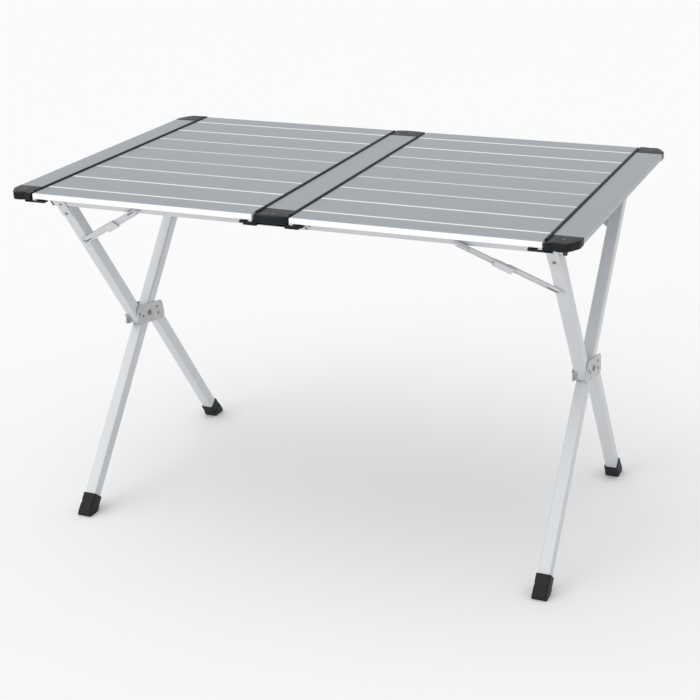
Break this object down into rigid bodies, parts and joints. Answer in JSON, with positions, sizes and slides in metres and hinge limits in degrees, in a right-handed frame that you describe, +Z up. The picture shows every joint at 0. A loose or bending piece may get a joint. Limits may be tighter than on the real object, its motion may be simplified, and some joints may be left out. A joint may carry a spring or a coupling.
{
  "type": "folding table",
  "caption": "Folding camping table with a hinged aluminium slat top, dark end caps and a scissor frame of square tube with braces and rubber feet.",
  "frame": {"origin": "on the floor, under the middle of the top", "axes": "+X along the table's length, +Y to its rear, +Z up"},
  "size_m": [1.1, 0.7, 0.7035],
  "materials": {
    "board_anodised": "satin grey anodised",
    "edge_aluminium": "bright satin",
    "tube_aluminium": "silver anodised",
    "brace_aluminium": "silver anodised",
    "hub_steel": "zinc plated",
    "hinge_black": "black",
    "black_plastic": "black",
    "cap_plastic": "satin charcoal",
    "foot_rubber": "matte black"
  },
  "bodies": {
    "left_leg_straight": {"leg_straight_left": "tube_aluminium", "foot_front_left": "foot_rubber"},
    "left_leg_cranked": {"leg_cranked_upper_left": "tube_aluminium", "leg_cranked_lower_left": "tube_aluminium", "hub_plates_left": "hub_steel", "hub_rivets_left": "hub_steel", "foot_rear_left": "foot_rubber"},
    "right_leg_straight": {"leg_straight_right": "tube_aluminium", "foot_front_right": "foot_rubber"},
    "right_leg_cranked": {"leg_cranked_upper_right": "tube_aluminium", "leg_cranked_lower_right": "tube_aluminium", "hub_plates_right": "hub_steel", "hub_rivets_right": "hub_steel", "foot_rear_right": "foot_rubber"},
    "saddle": {"rail_saddle": "black_plastic"},
    "top_centre": {"centre_board": "board_anodised", "centre_cap_front": "cap_plastic", "centre_cap_rear": "cap_plastic", "hinge_centre_left_board": "hinge_black", "hinge_centre_right_board": "hinge_black"},
    "slat_panel_left": {"slats_left": "board_anodised", "slat_channels_left": "edge_aluminium", "hinge_centre_left_panel": "hinge_black", "hinge_end_left_panel": "hinge_black"},
    "end_board_left": {"end_board_left": "board_anodised", "corner_cap_front_left": "cap_plastic", "corner_cap_rear_left": "cap_plastic", "hinge_end_left_board": "hinge_black"},
    "slat_panel_right": {"slats_right": "board_anodised", "slat_channels_right": "edge_aluminium", "hinge_centre_right_panel": "hinge_black", "hinge_end_right_panel": "hinge_black"},
    "end_board_right": {"end_board_right": "board_anodised", "corner_cap_front_right": "cap_plastic", "corner_cap_rear_right": "cap_plastic", "hinge_end_right_board": "hinge_black"},
    "rear_rail_left": {"rear_rail_left": "tube_aluminium", "rail_plug_rear_left": "black_plastic", "rail_brackets_rear_left": "hub_steel"},
    "brace_lower_rear_left": {"brace_lower_rear_left": "brace_aluminium"},
    "brace_upper_rear_left": {"brace_upper_rear_left": "brace_aluminium"},
    "brace_sleeve_rear_left": {"brace_sleeve_rear_left": "brace_aluminium"},
    "rear_rail_right": {"rear_rail_right": "tube_aluminium", "rail_plug_rear_right": "black_plastic", "rail_brackets_rear_right": "hub_steel"},
    "brace_lower_rear_right": {"brace_lower_rear_right": "brace_aluminium"},
    "brace_upper_rear_right": {"brace_upper_rear_right": "brace_aluminium"},
    "brace_sleeve_rear_right": {"brace_sleeve_rear_right": "brace_aluminium"},
    "front_rail_left": {"front_rail_left": "tube_aluminium", "rail_plug_front_left": "black_plastic", "rail_brackets_front_left": "hub_steel"},
    "brace_lower_front_left": {"brace_lower_front_left": "brace_aluminium"},
    "brace_upper_front_left": {"brace_upper_front_left": "brace_aluminium"},
    "brace_sleeve_front_left": {"brace_sleeve_front_left": "brace_aluminium"},
    "front_rail_right": {"front_rail_right": "tube_aluminium", "rail_plug_front_right": "black_plastic", "rail_brackets_front_right": "hub_steel"},
    "brace_lower_front_right": {"brace_lower_front_right": "brace_aluminium"},
    "brace_upper_front_right": {"brace_upper_front_right": "brace_aluminium"},
    "brace_sleeve_front_right": {"brace_sleeve_front_right": "brace_aluminium"}
  },
  "joints": [
    {"name": "scissor", "type": "hinge", "parent": "left_leg_straight", "child": "left_leg_cranked", "pos_m": [-0.487, 0, 0.35], "axis": [-1, 0, 0], "range_deg": [0, 70.85]},
    {"name": "top_tilt", "type": "hinge", "parent": "left_leg_straight", "child": "saddle", "pos_m": [-0.487, 0.258, 0.66943], "axis": [-1, 0, 0], "range_deg": [0, 35.42]},
    {"name": "top_lift", "type": "slide", "parent": "saddle", "child": "top_centre", "axis": [0, 0, 1], "range_m": [0, 0.09]},
    {"name": "panel_fold_left", "type": "hinge", "parent": "top_centre", "child": "slat_panel_left", "pos_m": [-0.0335, 0, 0.7004], "axis": [0, 1, 0], "range_deg": [0, 90]},
    {"name": "end_board_fold_left", "type": "hinge", "parent": "slat_panel_left", "child": "end_board_left", "pos_m": [-0.495, 0, 0.7004], "axis": [0, 1, 0], "range_deg": [0, 170]},
    {"name": "panel_fold_right", "type": "hinge", "parent": "top_centre", "child": "slat_panel_right", "pos_m": [0.0335, 0, 0.7004], "axis": [0, -1, 0], "range_deg": [0, 90]},
    {"name": "end_board_fold_right", "type": "hinge", "parent": "slat_panel_right", "child": "end_board_right", "pos_m": [0.495, 0, 0.7004], "axis": [0, -1, 0], "range_deg": [0, 170]},
    {"name": "rail_fold", "type": "hinge", "parent": "left_leg_straight", "child": "rear_rail_left", "pos_m": [-0.487, 0.23789, 0.64453], "axis": [0, 0.7779, -0.6283], "range_deg": [0, 50]},
    {"name": "rear_rail_middle", "type": "hinge", "parent": "rear_rail_left", "child": "rear_rail_right", "pos_m": [0, 0.26554, 0.67876], "axis": [0, 0.7779, -0.6283], "range_deg": [-100, 0]},
    {"name": "right_leg_fold", "type": "hinge", "parent": "rear_rail_right", "child": "right_leg_straight", "pos_m": [0.487, 0.23789, 0.64453], "axis": [0, 0.7779, -0.6283], "range_deg": [0, 50]},
    {"name": "scissor_right", "type": "hinge", "parent": "right_leg_straight", "child": "right_leg_cranked", "pos_m": [0.487, 0, 0.35], "axis": [-1, 0, 0], "range_deg": [0, 70.85]},
    {"name": "front_rail_fold", "type": "hinge", "parent": "left_leg_cranked", "child": "front_rail_left", "pos_m": [-0.487, -0.23941, 0.64338], "axis": [0, 0.814, 0.5808], "range_deg": [0, 50]},
    {"name": "front_rail_middle", "type": "hinge", "parent": "front_rail_left", "child": "front_rail_right", "pos_m": [0, -0.26497, 0.6792], "axis": [0, 0.814, 0.5808], "range_deg": [-100, 0]},
    {"name": "brace_lower_fold_rear_left", "type": "hinge", "parent": "left_leg_straight", "child": "brace_lower_rear_left", "pos_m": [-0.487, 0.18386, 0.57763], "axis": [0, 0.7779, -0.6283], "range_deg": [-4.37, 0]},
    {"name": "brace_upper_fold_rear_left", "type": "hinge", "parent": "rear_rail_left", "child": "brace_upper_rear_left", "pos_m": [-0.318, 0.258, 0.66943], "axis": [0, 0.7779, -0.6283], "range_deg": [0, 43.73]},
    {"name": "sleeve_slide_rear_left", "type": "slide", "parent": "brace_upper_rear_left", "child": "brace_sleeve_rear_left", "axis": [0.8199, 0.3597, 0.4454], "range_m": [0, 0.03]},
    {"name": "brace_lower_fold_rear_right", "type": "hinge", "parent": "right_leg_straight", "child": "brace_lower_rear_right", "pos_m": [0.487, 0.18386, 0.57763], "axis": [0, 0.7779, -0.6283], "range_deg": [0, 4.37]},
    {"name": "brace_upper_fold_rear_right", "type": "hinge", "parent": "rear_rail_right", "child": "brace_upper_rear_right", "pos_m": [0.318, 0.258, 0.66943], "axis": [0, 0.7779, -0.6283], "range_deg": [-43.73, 0]},
    {"name": "sleeve_slide_rear_right", "type": "slide", "parent": "brace_upper_rear_right", "child": "brace_sleeve_rear_right", "axis": [-0.8199, 0.3597, 0.4454], "range_m": [0, 0.03]},
    {"name": "brace_lower_fold_front_left", "type": "hinge", "parent": "left_leg_cranked", "child": "brace_lower_front_left", "pos_m": [-0.487, -0.18947, 0.57337], "axis": [0, 0.814, 0.5808], "range_deg": [-4.37, 0]},
    {"name": "brace_upper_fold_front_left", "type": "hinge", "parent": "front_rail_left", "child": "brace_upper_front_left", "pos_m": [-0.318, -0.258, 0.66943], "axis": [0, 0.814, 0.5808], "range_deg": [0, 43.73]},
    {"name": "sleeve_slide_front_left", "type": "slide", "parent": "brace_upper_front_left", "child": "brace_sleeve_front_left", "axis": [0.8199, -0.3325, 0.466], "range_m": [0, 0.03]},
    {"name": "brace_lower_fold_front_right", "type": "hinge", "parent": "right_leg_cranked", "child": "brace_lower_front_right", "pos_m": [0.487, -0.18947, 0.57337], "axis": [0, 0.814, 0.5808], "range_deg": [0, 4.37]},
    {"name": "brace_upper_fold_front_right", "type": "hinge", "parent": "front_rail_right", "child": "brace_upper_front_right", "pos_m": [0.318, -0.258, 0.66943], "axis": [0, 0.814, 0.5808], "range_deg": [-43.73, 0]},
    {"name": "sleeve_slide_front_right", "type": "slide", "parent": "brace_upper_front_right", "child": "brace_sleeve_front_right", "axis": [-0.8199, -0.3325, 0.466], "range_m": [0, 0.03]}
  ],
  "couplings": [
    {"joint": "top_tilt", "follows": "scissor", "ratio": 0.5},
    {"joint": "rear_rail_middle", "follows": "rail_fold", "ratio": -2},
    {"joint": "right_leg_fold", "follows": "rail_fold", "ratio": 1},
    {"joint": "scissor_right", "follows": "scissor", "ratio": 1},
    {"joint": "front_rail_fold", "follows": "rail_fold", "ratio": 1},
    {"joint": "front_rail_middle", "follows": "rail_fold", "ratio": -2},
    {"joint": "brace_lower_fold_rear_left", "follows": "rail_fold", "ratio": -0.08735},
    {"joint": "brace_upper_fold_rear_left", "follows": "rail_fold", "ratio": 0.87453},
    {"joint": "brace_lower_fold_rear_right", "follows": "rail_fold", "ratio": 0.08735},
    {"joint": "brace_upper_fold_rear_right", "follows": "rail_fold", "ratio": -0.87453},
    {"joint": "brace_lower_fold_front_left", "follows": "rail_fold", "ratio": -0.08735},
    {"joint": "brace_upper_fold_front_left", "follows": "rail_fold", "ratio": 0.87453},
    {"joint": "brace_lower_fold_front_right", "follows": "rail_fold", "ratio": 0.08735},
    {"joint": "brace_upper_fold_front_right", "follows": "rail_fold", "ratio": -0.87453}
  ]
}
